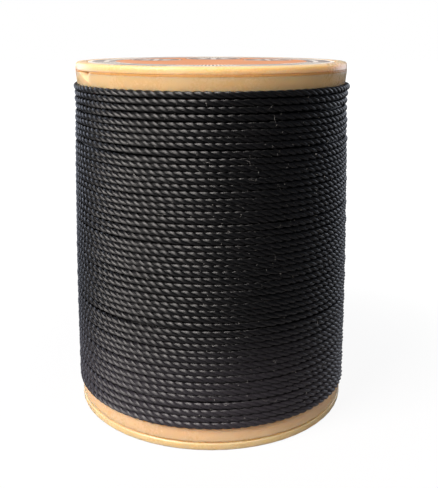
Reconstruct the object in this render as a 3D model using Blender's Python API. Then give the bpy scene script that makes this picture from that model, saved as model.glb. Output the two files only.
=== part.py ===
"""Spool of waxed thread: a moulded core with a flange and a snap cap at each end.

Metres, +Z up.  The spool stands on its lower cap, with its axis on Z and its front towards -Y.
Each end is drawn once, in its own frame: z = 0 is the outer face and z falls going into the spool.
"""

import math

import bmesh
import bpy
import numpy as np
from mathutils import Matrix

MM = 0.001

# Overall
SPOOL_HEIGHT = 57.0 * MM
FLANGE_DIAMETER = 44.9 * MM

# Heights at one end, counted inwards from the outer face
CAP_EDGE = 1.2 * MM  # the snap cap's rim
SEAM = 0.2 * MM  # the pinch gap between cap and flange, closed
FLANGE_EDGE = 2.15 * MM  # the flange's rim
FLANGE_WEB = 1.2 * MM  # the flange's plate inside its rim
FLANGE_TAPER = 0.25 * MM  # how much the flange's rim draws in towards the thread

# Rims and their edges
CAP_RIM_WIDTH = 1.75 * MM
FLANGE_RIM_WIDTH = 2.4 * MM
CAP_ROUND = 0.45 * MM
FLANGE_ROUND = 0.25 * MM
PINCH_LIP = 0.12 * MM  # chamfers that lead the thread's end into the seam

# Label, stuck in a shallow recess of the upper cap
LABEL_THICKNESS = 0.15 * MM
LABEL_BED = 0.15 * MM
LABEL_CLEARANCE = 0.3 * MM

# Snap fingers, which hang from each cap through the flange's hub
BORE_DIAMETER = 9.0 * MM
FINGER_WALL = 1.1 * MM
FINGER_COUNT = 6
FINGER_SLOT = 1.4 * MM
FINGER_ROOT_ROUND = 0.3 * MM
HUB_CLEARANCE = 0.3 * MM
HUB_CHAMFER = 0.35 * MM
BARB_GRIP = 0.6 * MM  # how far a barb reaches under the hub's edge
BARB_RISE = 0.3 * MM  # slope of the catching face, so that the cap pulls off again
BARB_LAND = 0.35 * MM
BARB_LEAD = 1.0 * MM  # length of the pointed lead-in
CAP_TRAVEL = 1.6 * MM  # how far a cap lifts before its barbs catch
TRAVEL_CLEARANCE = 0.2 * MM

# Barrel, with a counterbore at each end for the flange's collar
BARREL_DIAMETER = 26.0 * MM
BARREL_WALL = 1.8 * MM
COUNTERBORE_WALL = 1.4 * MM
COLLAR_LENGTH = 4.0 * MM
COLLAR_WALL = 1.1 * MM
COLLAR_SEAT = 0.5 * MM  # counterbore left beyond the collar's end
EDGE_BREAK = 0.3 * MM
FIT_GAP = 0.3 * MM  # between pieces that touch

# Thread catch: a V cut in the upper flange's rim, deepest at the seam
NOTCH_AZIMUTH = math.radians(61.0)  # from the front towards -X
NOTCH_WIDTH = 5.0 * MM
NOTCH_DEPTH = 0.9 * MM
NOTCH_RUN = 1.9 * MM  # height over which it fades out
NOTCH_LEAN = 2.2 * MM  # how far it leans towards the front over that height
CUT_MARGIN = 1.0 * MM

# Thread: about fifty turns show, and each drawn loop stands for two of them
DRAWN_LOOPS = 24
POINTS_PER_LOOP = 24
LOOP_GAP = 0.44 * MM
WINDING_PROUD = 0.3 * MM  # how far the full winding stands out past the flanges
WINDING_START = math.radians(110.0)  # azimuth of the first loop's end, at the back
CORE_ROUND = 0.4 * MM

SEGMENTS = 60
ARC_STEPS = 3

# Colours, as linear RGB, with roughness
CREAM_PLASTIC = ((0.89, 0.60, 0.33), 0.34)
BLACK_THREAD = ((0.012, 0.011, 0.013), 0.45)
PRINTED_PAPER = ((0.80, 0.40, 0.22), 0.40)

RIM_RADIUS = FLANGE_DIAMETER / 2
RECESS_DEPTH = LABEL_THICKNESS + LABEL_BED
RECESS_RADIUS = RIM_RADIUS - CAP_RIM_WIDTH
SEAM_BOTTOM = CAP_EDGE + SEAM
END_HEIGHT = SEAM_BOTTOM + FLANGE_EDGE
BORE_RADIUS = BORE_DIAMETER / 2
FINGER_RADIUS = BORE_RADIUS + FINGER_WALL
HUB_RADIUS = FINGER_RADIUS + HUB_CLEARANCE
BARREL_RADIUS = BARREL_DIAMETER / 2
COUNTERBORE_RADIUS = BARREL_RADIUS - COUNTERBORE_WALL
COLLAR_RADIUS = COUNTERBORE_RADIUS - FIT_GAP
WINDING_RADIUS = RIM_RADIUS + WINDING_PROUD
WINDING_SPAN = SPOOL_HEIGHT - 2 * (END_HEIGHT + FIT_GAP)
LOOP_PITCH = (WINDING_SPAN + LOOP_GAP) / (DRAWN_LOOPS + 1)
LOOP_RADIUS = (LOOP_PITCH - LOOP_GAP) / 2
LOOP_PATH_RADIUS = WINDING_RADIUS - LOOP_RADIUS


def clear_scene():
    for obj in list(bpy.data.objects):
        bpy.data.objects.remove(obj, do_unlink=True)


def finish(name, look):
    colour, roughness = look
    material = bpy.data.materials.new(name)
    material.use_nodes = True
    shader = material.node_tree.nodes["Principled BSDF"]
    shader.inputs["Base Color"].default_value = (*colour, 1.0)
    shader.inputs["Roughness"].default_value = roughness
    shader.inputs["Metallic"].default_value = 0.0
    return material


def place(name, data, look, height=0.0, turned_over=False):
    """One named piece on the spool's axis, drawn outer face up or turned over for the lower end."""
    obj = bpy.data.objects.new(name, data)
    bpy.context.scene.collection.objects.link(obj)
    obj.location.z = height
    if turned_over:
        obj.rotation_euler.x = math.pi
    if not data.materials:
        data.materials.append(finish(name, look))
    return obj


def softened(corners):
    """A closed outline in (radius, height) with each corner's arc put in.

    A corner is (radius, height), or (radius, height, size, steps) with the arc's radius and its
    number of faces; one face makes a chamfer.
    """
    outline = []
    for index, corner in enumerate(corners):
        here = np.array(corner[:2])
        if len(corner) == 2:
            outline.append(tuple(here))
            continue
        size, steps = corner[2:]
        before = np.array(corners[index - 1][:2]) - here
        after = np.array(corners[(index + 1) % len(corners)][:2]) - here
        before /= np.linalg.norm(before)
        after /= np.linalg.norm(after)
        half = math.acos(np.clip(before @ after, -1.0, 1.0)) / 2
        middle = (before + after) / np.linalg.norm(before + after)
        centre = here + middle * size / math.sin(half)
        first = here + before * size / math.tan(half) - centre
        last = here + after * size / math.tan(half) - centre
        sweep = math.pi - 2 * half
        for step in range(steps + 1):
            share = step / steps
            weights = math.sin((1 - share) * sweep), math.sin(share * sweep)
            point = centre + (weights[0] * first + weights[1] * last) / math.sin(sweep)
            outline.append(tuple(point))
    return outline


def turned(name, corners, segments=SEGMENTS):
    """The solid that an outline in (radius, height) sweeps round Z."""
    outline = softened(corners)
    shape = bmesh.new()
    ring = [shape.verts.new((radius, 0.0, height)) for radius, height in outline]
    edges = [shape.edges.new((ring[i - 1], ring[i])) for i in range(len(ring))]
    bmesh.ops.spin(
        shape,
        geom=ring + edges,
        cent=(0, 0, 0),
        axis=(0, 0, 1),
        angle=2 * math.pi,
        steps=segments,
        use_merge=True,
    )
    bmesh.ops.recalc_face_normals(shape, faces=shape.faces)
    return shaded(name, shape)


def shaded(name, shape):
    mesh = bpy.data.meshes.new(name)
    shape.to_mesh(mesh)
    shape.free()
    mesh.shade_smooth()
    mesh.set_sharp_from_angle(angle=math.radians(30))
    return mesh


def cut(obj, cutter):
    """Cuts one object with another, which stays as a hidden guide."""
    cutter.hide_render = True
    cutter.display_type = "WIRE"
    boolean = obj.modifiers.new(cutter.name, "BOOLEAN")
    boolean.operation = "DIFFERENCE"
    boolean.solver = "EXACT"
    boolean.object = cutter
    cutter.parent = obj


def cap_mesh():
    """Rim, label recess, plate and the barbed skirt that the slots part into fingers."""
    catch = END_HEIGHT + CAP_TRAVEL + TRAVEL_CLEARANCE
    barb = HUB_RADIUS + BARB_GRIP
    land = catch + BARB_RISE
    tip = land + BARB_LAND + BARB_LEAD
    return turned(
        "snap_cap",
        [
            (BORE_RADIUS, -RECESS_DEPTH, EDGE_BREAK, 1),
            (RECESS_RADIUS, -RECESS_DEPTH),
            (RECESS_RADIUS, 0.0),
            (RIM_RADIUS, 0.0, CAP_ROUND, ARC_STEPS),
            (RIM_RADIUS, -CAP_EDGE, PINCH_LIP, 1),
            (FINGER_RADIUS, -CAP_EDGE, FINGER_ROOT_ROUND, 2),
            (FINGER_RADIUS, -catch),
            (barb, -land),
            (barb, -land - BARB_LAND),
            (FINGER_RADIUS - FINGER_WALL / 3, -tip),
            (BORE_RADIUS, -tip),
        ],
    )


def finger_slots(cap):
    """Slots across the skirt, below the plate, that part it into springy fingers."""
    top = CAP_EDGE + FINGER_ROOT_ROUND
    depth = END_HEIGHT + CAP_TRAVEL + BARB_LEAD + BARB_LAND + CUT_MARGIN
    length = 2 * (HUB_RADIUS + BARB_GRIP + CUT_MARGIN)
    shape = bmesh.new()
    for index in range(FINGER_COUNT // 2):
        slot = bmesh.ops.create_cube(shape, size=1.0)["verts"]
        bmesh.ops.scale(shape, vec=(length, FINGER_SLOT, depth), verts=slot)
        bmesh.ops.translate(shape, vec=(0, 0, -top - depth / 2), verts=slot)
        turn = Matrix.Rotation(2 * math.pi * index / FINGER_COUNT, 3, "Z")
        bmesh.ops.rotate(shape, matrix=turn, verts=slot)
    mesh = bpy.data.meshes.new("finger_slots")
    shape.to_mesh(mesh)
    shape.free()
    cutter = bpy.data.objects.new("finger_slots", mesh)
    bpy.context.scene.collection.objects.link(cutter)
    cut(cap, cutter)


def flange_mesh():
    """Tapered rim, plate with the hub hole, and the collar that seats in the barrel."""
    plate_top = END_HEIGHT - FLANGE_WEB
    rim_inner = RIM_RADIUS - FLANGE_RIM_WIDTH
    collar_inner = COLLAR_RADIUS - COLLAR_WALL
    collar_end = END_HEIGHT + COLLAR_LENGTH
    return turned(
        "flange",
        [
            (HUB_RADIUS, -plate_top, HUB_CHAMFER, 1),
            (rim_inner, -plate_top),
            (rim_inner, -SEAM_BOTTOM),
            (RIM_RADIUS, -SEAM_BOTTOM, PINCH_LIP, 1),
            (RIM_RADIUS - FLANGE_TAPER, -END_HEIGHT, FLANGE_ROUND, 2),
            (COLLAR_RADIUS, -END_HEIGHT),
            (COLLAR_RADIUS, -collar_end, EDGE_BREAK, 1),
            (collar_inner, -collar_end),
            (collar_inner, -END_HEIGHT),
            (HUB_RADIUS, -END_HEIGHT),
        ],
    )


def thread_notch(flange):
    """A leaning V in the rim whose floor slides outwards as it goes down, so that it fades out."""
    spread = (NOTCH_DEPTH + CUT_MARGIN) / NOTCH_DEPTH
    section = [
        (0.0, RIM_RADIUS - NOTCH_DEPTH),
        (-NOTCH_WIDTH / 2 * spread, RIM_RADIUS + CUT_MARGIN),
        (NOTCH_WIDTH / 2 * spread, RIM_RADIUS + CUT_MARGIN),
    ]
    slope = NOTCH_DEPTH / NOTCH_RUN
    lean = NOTCH_LEAN / NOTCH_RUN
    shape = bmesh.new()
    for drop in (-SEAM / 2, FLANGE_EDGE + SEAM / 2):
        for across, out in section:
            shape.verts.new((across + lean * drop, -out - slope * drop, -SEAM_BOTTOM - drop))
    bmesh.ops.convex_hull(shape, input=shape.verts)
    bmesh.ops.recalc_face_normals(shape, faces=shape.faces)
    mesh = bpy.data.meshes.new("thread_notch")
    shape.to_mesh(mesh)
    shape.free()
    cutter = bpy.data.objects.new("thread_notch", mesh)
    bpy.context.scene.collection.objects.link(cutter)
    cutter.rotation_euler.z = -NOTCH_AZIMUTH
    cut(flange, cutter)


def build_ends():
    """The same cap and flange mouldings at both ends; only the upper flange has the notch."""
    cap, flange = cap_mesh(), flange_mesh()
    for end, height, turned_over in (("upper", SPOOL_HEIGHT, False), ("lower", 0.0, True)):
        finger_slots(place(f"{end}_snap_cap", cap, CREAM_PLASTIC, height, turned_over))
        piece = place(f"{end}_flange", flange, CREAM_PLASTIC, height, turned_over)
        if end == "upper":
            thread_notch(piece)


def build_label():
    """A paper disc over the upper cap's recess and bore, level with the rim."""
    shape = bmesh.new()
    radius = RECESS_RADIUS - LABEL_CLEARANCE
    bmesh.ops.create_cone(
        shape,
        cap_ends=True,
        segments=SEGMENTS,
        radius1=radius,
        radius2=radius,
        depth=LABEL_THICKNESS,
    )
    bmesh.ops.translate(shape, vec=(0, 0, -LABEL_THICKNESS / 2), verts=shape.verts)
    place("top_label", shaded("top_label", shape), PRINTED_PAPER, SPOOL_HEIGHT)


def build_barrel():
    half = (SPOOL_HEIGHT - 2 * (END_HEIGHT + FIT_GAP)) / 2
    bore = BARREL_RADIUS - BARREL_WALL
    step = half - COLLAR_LENGTH - COLLAR_SEAT
    corners = [
        (BARREL_RADIUS, -half, EDGE_BREAK, 1),
        (BARREL_RADIUS, half, EDGE_BREAK, 1),
        (COUNTERBORE_RADIUS, half, EDGE_BREAK, 1),
        (COUNTERBORE_RADIUS, step),
        (bore, step),
        (bore, -step),
        (COUNTERBORE_RADIUS, -step),
        (COUNTERBORE_RADIUS, -half, EDGE_BREAK, 1),
    ]
    place("core_barrel", turned("core_barrel", corners), CREAM_PLASTIC, SPOOL_HEIGHT / 2)


def build_inner_layers():
    """The buried layers of thread, plain, just clear of the flat chords of the loops over them."""
    chord_radius = LOOP_PATH_RADIUS * math.cos(math.pi / POINTS_PER_LOOP)
    outer = chord_radius - LOOP_RADIUS - FIT_GAP
    inner = BARREL_RADIUS + FIT_GAP
    half = WINDING_SPAN / 2
    corners = [
        (inner, -half),
        (outer, -half, CORE_ROUND, 2),
        (outer, half, CORE_ROUND, 2),
        (inner, half),
    ]
    mesh = turned("thread_inner_layers", corners)
    place("thread_inner_layers", mesh, BLACK_THREAD, SPOOL_HEIGHT / 2)


def winding_path():
    """Points of one unbroken helix, top to bottom, with a straight stretch at each end."""
    steps = DRAWN_LOOPS * POINTS_PER_LOOP
    turn = np.arange(steps + 1) / POINTS_PER_LOOP
    angle = WINDING_START + 2 * math.pi * turn
    top = WINDING_SPAN / 2 - LOOP_RADIUS
    helix = np.column_stack(
        [
            LOOP_PATH_RADIUS * np.sin(angle),
            -LOOP_PATH_RADIUS * np.cos(angle),
            top - LOOP_PITCH * turn,
        ]
    )
    rise = -LOOP_PITCH / (2 * math.pi * LOOP_PATH_RADIUS)
    ends = []
    for place_angle, point, way in ((angle[0], helix[0], -1), (angle[-1], helix[-1], 1)):
        along = np.array([math.cos(place_angle), math.sin(place_angle), rise])
        ends.append(point + way * 2 * LOOP_RADIUS * along)
    return np.vstack([ends[0], helix, ends[1]])


def build_outer_layer():
    """The layer that shows, as one tube; prints its least gap between neighbouring loops."""
    path = winding_path()
    curve = bpy.data.curves.new("thread_outer_layer", "CURVE")
    curve.dimensions = "3D"
    curve.twist_mode = "Z_UP"
    curve.bevel_depth = LOOP_RADIUS
    curve.bevel_resolution = 1
    curve.use_fill_caps = True
    spline = curve.splines.new("POLY")
    spline.points.add(len(path) - 1)
    for point, position in zip(spline.points, path):
        point.co = (*position, 1.0)
    place("thread_outer_layer", curve, BLACK_THREAD, SPOOL_HEIGHT / 2)
    gaps = []
    for index in range(len(path) - POINTS_PER_LOOP // 2):
        others = path[index + POINTS_PER_LOOP // 2 :]
        gaps.append(np.linalg.norm(others - path[index], axis=1).min())
    print(f"thread_outer_layer: least gap {(min(gaps) - 2 * LOOP_RADIUS) / MM:.3f} mm")


def main():
    clear_scene()
    build_ends()
    build_label()
    build_barrel()
    build_inner_layers()
    build_outer_layer()


main()
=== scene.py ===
"""The looks of a spool of black waxed thread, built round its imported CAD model.

Metres, +Z up; the spool stands on z = 0 with its axis on Z and its front towards -Y.  An azimuth
is counted round the axis from the front towards +X.
"""

import math

import bmesh
import bpy
import numpy as np
from bpy.props import FloatProperty, FloatVectorProperty, IntProperty, PointerProperty
from mathutils import Euler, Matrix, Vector, noise


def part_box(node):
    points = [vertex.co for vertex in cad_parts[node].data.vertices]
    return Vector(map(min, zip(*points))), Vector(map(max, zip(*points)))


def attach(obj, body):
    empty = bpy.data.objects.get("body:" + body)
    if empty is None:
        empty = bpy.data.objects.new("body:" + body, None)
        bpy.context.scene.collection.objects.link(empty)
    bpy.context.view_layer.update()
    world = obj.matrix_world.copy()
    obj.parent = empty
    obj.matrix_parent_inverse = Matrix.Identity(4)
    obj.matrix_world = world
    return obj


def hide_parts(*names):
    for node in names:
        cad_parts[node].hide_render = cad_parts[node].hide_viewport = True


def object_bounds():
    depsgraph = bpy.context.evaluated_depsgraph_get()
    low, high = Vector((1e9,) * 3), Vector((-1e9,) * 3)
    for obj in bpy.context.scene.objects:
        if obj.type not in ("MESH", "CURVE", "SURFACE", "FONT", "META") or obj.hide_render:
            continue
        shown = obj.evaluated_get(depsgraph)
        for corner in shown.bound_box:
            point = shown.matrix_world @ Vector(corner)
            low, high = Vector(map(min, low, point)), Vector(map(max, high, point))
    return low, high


bl_info = {
    "name": "Waxed Thread Spool",
    "version": (1, 0, 0),
    "blender": (4, 5, 0),
    "location": "3D View > Sidebar > Thread Spool",
    "description": "Dresses a moulded spool with waxed thread, a printed label, dust and a stage",
    "category": "Object",
}

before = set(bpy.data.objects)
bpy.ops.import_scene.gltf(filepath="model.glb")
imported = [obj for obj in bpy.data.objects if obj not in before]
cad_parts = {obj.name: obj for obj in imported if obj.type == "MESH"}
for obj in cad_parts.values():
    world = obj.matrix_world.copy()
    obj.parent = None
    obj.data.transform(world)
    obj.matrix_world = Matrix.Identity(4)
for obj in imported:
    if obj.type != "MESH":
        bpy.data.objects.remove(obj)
CAD_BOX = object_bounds()

MM = 0.001
MICRON = 0.000001

# Places read from the frame
SPOOL_HEIGHT = CAD_BOX[1].z
RIM_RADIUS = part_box("upper_flange")[1].x
LABEL_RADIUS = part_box("top_label")[1].x
LABEL_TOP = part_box("top_label")[1].z
LABEL_THICKNESS = LABEL_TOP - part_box("top_label")[0].z
CORE_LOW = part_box("thread_inner_layers")[0].z
CORE_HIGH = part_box("thread_inner_layers")[1].z
BARREL_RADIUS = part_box("core_barrel")[1].x
FIT_GAP = 0.3 * MM  # between the solid of the buried thread and the plastic round it
WOUND_LOW = CORE_LOW - FIT_GAP
WOUND_HIGH = CORE_HIGH + FIT_GAP

PLASTIC_NODES = (
    "core_barrel",
    "upper_flange",
    "lower_flange",
    "upper_snap_cap",
    "lower_snap_cap",
)

# The lip that stands in each seam between a flange and its cap, as a closed section: mm in from
# the rim, and mm beyond the flange's face
LIP_WIDTH = 2.2
UPPER_LIP = (
    (LIP_WIDTH, 0.01),
    (0.13, 0.01),
    (0.03, -0.08),
    (0.02, -0.06),
    (0.02, 0.21),
    (0.12, 0.17),
    (LIP_WIDTH, 0.17),
)
LOWER_LIP = ((LIP_WIDTH, 0.01), (0.26, 0.01), (0.26, 0.12), (0.28, 0.14), (LIP_WIDTH, 0.14))
LIP_STEPS = 180
NOTCH_AZIMUTH = math.radians(-61.0)
NOTCH_HALF_ANGLE = math.radians(6.4)
NOTCH_DEPTH = 0.9 * MM

# The thread's outer layer and the layer below it
WINDING_SEED = 8
TWIST_SEED = 21
RING_SPACING = 0.45 * MM  # between the rings of points along the thread
PLIES = 3
# One pressed ply and the groove before it: degrees from its crest, share of the crest's radius
PLY_SECTION = ((-60, 0.36), (-50, 0.72), (-27, 0.93), (0, 1.0), (27, 0.93), (50, 0.72))
PRESSED_HEIGHT = 1.10  # the thread's height over its depth, where turns press on each other
TWIST_WANDER = 0.5  # radians by which the twist runs ahead or falls behind
FATNESS_WANDER = 0.025
STRAND_TWIST = 0.35  # share of the twist that the filament pattern follows
STRAND_STRETCH = 0.12  # the pattern's units in a mm of thread
FILAMENT_DROP = math.radians(14.0)  # the filaments' slope below the horizontal
RIM_OVERLAP = 0.14 * MM  # how far the first and last turns ride up on the rims' rounded edges
START_AZIMUTH = math.radians(195.0)
END_AZIMUTH = math.radians(215.0)
EASED_TURNS = 4  # turns over which the helix grows out of the flange's flat face
PACKING = 0.955  # rise of a turn over its diameter, as neighbours press into each other's grooves
HEIGHT_WANDER = 0.035 * MM
RADIUS_WANDER = 0.045 * MM
END_FADE = 1.2  # turns over which what is loose at an end dies away
TOP_SLACK = 0.10 * MM  # how far the first turns stand off
TOP_SWAY = 0.06 * MM  # how much that changes round the spool
BOTTOM_SLACK = 0.10 * MM
FRONT_LIFT = 0.30 * MM  # how far the last turns ride up at the front
PROUD_AZIMUTH = math.radians(86.0)  # where the first turn bulges past the others
PROUD_BULGE = 0.24 * MM
PROUD_TURNS = 0.06  # length of that bulge
WINDING_PIECES = 4
DRIFT_HEIGHTS = (0.0, 0.05, 0.25, 0.45, 0.70, 0.86, 0.93, 1.0)  # share of the wound height
DRIFT_RADII = (-0.02, 0.08, 0.16, 0.15, 0.02, -0.12, -0.22, -0.08)  # mm beside the winding radius
WIDE_GAPS = ((8, 6.0), (34, 6.5), (21, 2.5), (27, 2.0), (43, 2.2))  # turn, size beside a usual gap
UNDER_LAYER_DEPTH = 1.15  # thread diameters from the outer crests to the layer below
UNDER_RIDGE_DEPTH = 0.32  # thread diameters
TURN_TOLERANCE = 0.000001

# The label's slight waves: waves round the disc, mm, start in radians
LABEL_WAVES = ((3, 0.018, 0.7), (7, 0.012, 0.0))
LABEL_LIFT = 0.10  # mm by which the rim lifts in one place
LABEL_LIFT_AZIMUTH = 3.6  # radians
LABEL_LIFT_WIDTH = 0.35  # radians
LABEL_SAG = 0.02  # mm by which the rim lies below the middle
LABEL_RINGS = (0.12, 0.25, 0.38, 0.5, 0.62, 0.74, 0.85, 0.93, 0.98, 1.0)  # share of its radius

# Dust and lint, thickest right of the front; angles in radians
DUST_SEED = 5
DUST_AZIMUTH = 0.35
DUST_MARGIN = 1 * MM  # kept free of dust at both ends of the winding
SPECK_SPREAD = 0.45
SPECK_RADII = (0.025, 0.055)  # mm
SPECK_SINK = 0.03 * MM  # how far the specks' middles lie below the crests
SPECK_BUMPS = 1.3  # along its radius
SPECK_BUMP_HEIGHT = 0.5  # share of its radius
SPECK_NOISE_STEP = 900  # noise units in a metre, so that no two crumbs look alike
BIG_SPECK = 1.6  # beside a usual one
BIG_SPECK_SHARE = 0.12
FIBRE_SPREAD = 0.5
FIBRE_LENGTHS = (0.3, 1.5)  # mm
FIBRE_LIFT = 0.02 * MM  # how far the fibres' ends lie above the specks' middles
FIBRE_ARCH = 0.10 * MM  # how far a fibre's middle stands above its ends
FIBRE_BEND = 1.1
FIBRE_TIP = 0.35  # width of its ends beside its middle


# ---------------------------------------------------------------------------------------------
# Settings


def length_property(name, description, length):
    return FloatProperty(name=name, description=description, default=length, unit="LENGTH")


def count_property(name, description, count, least=0):
    return IntProperty(name=name, description=description, default=count, min=least)


class SpoolSizes(bpy.types.PropertyGroup):
    """Sizes that a user would change."""

    thread_diameter: length_property("Thread Diameter", "Across the plies' crests", 0.95 * MM)
    full_turns: count_property("Full Turns", "Whole turns in the outer layer", 50, least=10)
    ply_lay: length_property("Ply Lay", "Thread in which each ply goes round once", 4.45 * MM)
    winding_radius: length_property("Winding Radius", "Axis to crests, without drift", 22.85 * MM)
    fibre_radius: length_property("Fibre Radius", "Radius of a loose lint fibre", 0.012 * MM)
    speck_count: count_property("Specks", "Crumbs of dust and wax on the thread", 260)
    fibre_count: count_property("Fibres", "Loose lint fibres on the thread", 130)


def colour_property(name, description, colour):
    return FloatVectorProperty(
        name=name,
        description=description,
        default=colour,
        subtype="COLOR",
        size=3,
        min=0.0,
        max=1.0,
    )


class SpoolColours(bpy.types.PropertyGroup):
    """Colours, as linear RGB."""

    plastic: colour_property("Plastic", "Cream moulded plastic", (0.95, 0.56, 0.30))
    # Painted shade: the lower flange's plastic is made darker and greyer than the rest, standing
    # in for shade on it
    painted_shade_flange: colour_property("Lower Flange Painted Shade", "Duller lower flange", (0.70, 0.455, 0.27))
    # Painted shade: a darker, deeper orange that stands in for the dim, warm inside of the seams,
    # used on the lips that fill them
    seam: colour_property("Seam", "Plastic deep in the seams", (0.72, 0.36, 0.12))
    thread: colour_property("Thread", "Dyed thread under the wax", (0.0008, 0.0008, 0.001))
    # Painted shade: the grooves between the plies are given a darker colour than the thread's own
    groove: colour_property("Groove", "Grooves between the plies", (0.0004, 0.0004, 0.0005))
    bloom: colour_property("Wax Bloom", "Dull wax on the crests", (0.014, 0.012, 0.015))
    # Painted light: a pale bluish tone that lightens the lowest turns, standing in for light
    # thrown up by the floor, not for dust
    painted_floor_light: colour_property("Painted Floor Light", "Handling dust on the lowest turns", (0.050, 0.044, 0.056))
    lint: colour_property("Lint", "Dust crumbs and loose fibres", (0.62, 0.60, 0.58))
    orange: colour_property("Label Orange", "Field of the label", (0.72, 0.27, 0.08))
    grey: colour_property("Label Grey", "Outer ring of the label", (0.27, 0.22, 0.20))
    brown: colour_property("Label Brown", "Printed figures of the label", (0.15, 0.09, 0.065))
    paper: colour_property("Paper", "Unprinted paper", (0.84, 0.80, 0.73))
    floor: colour_property("Floor", "Floor of the stage", (0.30, 0.30, 0.31))


# ---------------------------------------------------------------------------------------------
# Node trees


class NodeBuilder:
    """Adds nodes to a tree and joins them; an input takes a socket or a constant."""

    def __init__(self, tree):
        self.tree = tree
        self.made = 0

    def add(self, kind, inputs=None, **settings):
        node = self.tree.nodes.new(kind)
        node.location = (self.made % 6 * 220 - 1500, -(self.made // 6) * 260)
        self.made += 1
        for name, value in settings.items():
            setattr(node, name, value)
        for key, value in (inputs or {}).items():
            self.feed(node.inputs[key], value)
        return node

    def feed(self, socket, value):
        if isinstance(value, bpy.types.NodeSocket):
            self.tree.links.new(value, socket)
        else:
            socket.default_value = value

    def maths(self, operation, first, second=0.0, third=0.0, clamp=False):
        inputs = {0: first, 1: second, 2: third}
        node = self.add("ShaderNodeMath", inputs, operation=operation, use_clamp=clamp)
        return node.outputs[0]

    def mix(self, factor, first, second):
        """Mixes two colours, which are inputs 6 and 7 and output 2 of the node."""
        inputs = {0: factor, 6: first, 7: second}
        return self.add("ShaderNodeMix", inputs, data_type="RGBA").outputs[2]

    def fit(self, value, low, high, to_low=0.0, to_high=1.0):
        """Eases a value from one range into another."""
        inputs = {"Value": value, 1: low, 2: high, 3: to_low, 4: to_high}
        node = self.add("ShaderNodeMapRange", inputs, interpolation_type="SMOOTHSTEP")
        return node.outputs[0]

    def noise(self, vector, scale, detail=3.0, roughness=0.5):
        inputs = {"Vector": vector, "Scale": scale, "Detail": detail, "Roughness": roughness}
        return self.add("ShaderNodeTexNoise", inputs).outputs["Fac"]

    def stretch(self, vector, factors):
        inputs = {0: vector, 1: factors}
        node = self.add("ShaderNodeVectorMath", inputs, operation="MULTIPLY")
        return node.outputs[0]

    def split(self, vector):
        return self.add("ShaderNodeSeparateXYZ", {0: vector}).outputs

    def place(self):
        """Where a point lies on its object."""
        return self.add("ShaderNodeTexCoord").outputs["Object"]

    def upward(self):
        """How far a face looks up."""
        return self.split(self.add("ShaderNodeNewGeometry").outputs["Normal"])["Z"]

    def group(self, name, **inputs):
        """Places a shared effect; its inputs are named in small letters."""
        node = self.add("ShaderNodeGroup", node_tree=bpy.data.node_groups[name])
        for key, value in inputs.items():
            self.feed(node.inputs[key.replace("_", " ").title()], value)
        return node

    def bump(self, height, distance, strength=1.0, normal=None):
        node = self.add("ShaderNodeBump", {"Height": height})
        node.inputs["Distance"].default_value = distance
        node.inputs["Strength"].default_value = strength
        if normal is not None:
            self.feed(node.inputs["Normal"], normal)
        return node.outputs[0]


def shader_group(name, inputs, outputs):
    """A new group of shader nodes, as its builder, what it is given and what it gives.

    An input is a number with its usual value, or a vector if that is None; outputs are numbers.
    """
    tree = bpy.data.node_groups.new(name, "ShaderNodeTree")
    for label, usual in inputs.items():
        kind = "NodeSocketVector" if usual is None else "NodeSocketFloat"
        socket = tree.interface.new_socket(label, in_out="INPUT", socket_type=kind)
        if usual is not None:
            socket.default_value = usual
    for label in outputs:
        tree.interface.new_socket(label, in_out="OUTPUT", socket_type="NodeSocketFloat")
    nodes = NodeBuilder(tree)
    return nodes, nodes.add("NodeGroupInput").outputs, nodes.add("NodeGroupOutput").inputs


def mottle_group():
    """Slow and fine changes of tone, and a fine grain as height."""
    inputs = {"Vector": None, "Patches": 90.0, "Grain": 1800.0}
    nodes, given, result = shader_group("Mottle", inputs, ("Tone", "Height"))
    slow = nodes.noise(given["Vector"], given["Patches"], detail=4.0, roughness=0.55)
    fine = nodes.noise(given["Vector"], given["Grain"], detail=2.0, roughness=0.6)
    blend = nodes.maths("MULTIPLY_ADD", fine, 0.25, nodes.maths("MULTIPLY", slow, 0.75))
    nodes.feed(result["Tone"], nodes.fit(blend, 0.3, 0.7))
    nodes.feed(result["Height"], fine)


def scuff_group():
    """Fine scratches and rubbed spots that gather on rounded edges."""
    inputs = {"Vector": None, "Amount": 0.5, "Scale": 700.0}
    nodes, given, result = shader_group("Scuffs", inputs, ("Mask", "Height"))
    tilt = nodes.maths("ABSOLUTE", nodes.upward())
    edge = nodes.fit(tilt, 0.15, 0.45)
    flat = nodes.fit(tilt, 0.75, 0.98)
    rounded = nodes.maths("SUBTRACT", edge, flat, clamp=True)
    spots = nodes.noise(given["Vector"], given["Scale"], detail=5.0, roughness=0.7)
    patches = nodes.noise(given["Vector"], 120.0, detail=2.0)
    lines = nodes.noise(nodes.stretch(given["Vector"], (1.0, 1.0, 14.0)), 420.0, detail=2.0)
    rubbed = nodes.fit(nodes.maths("MULTIPLY", spots, patches), 0.30, 0.42)
    scratched = nodes.maths("MULTIPLY", nodes.fit(lines, 0.66, 0.72), nodes.fit(patches, 0.5, 0.7))
    worn = nodes.maths("MULTIPLY_ADD", rounded, 0.45, 0.15)
    mask = nodes.maths("ADD", nodes.maths("MULTIPLY", rubbed, worn), scratched, clamp=True)
    scaled = nodes.maths("MULTIPLY", mask, given["Amount"], clamp=True)
    nodes.feed(result["Mask"], scaled)
    nodes.feed(result["Height"], nodes.maths("SUBTRACT", 1.0, scaled))


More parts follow.
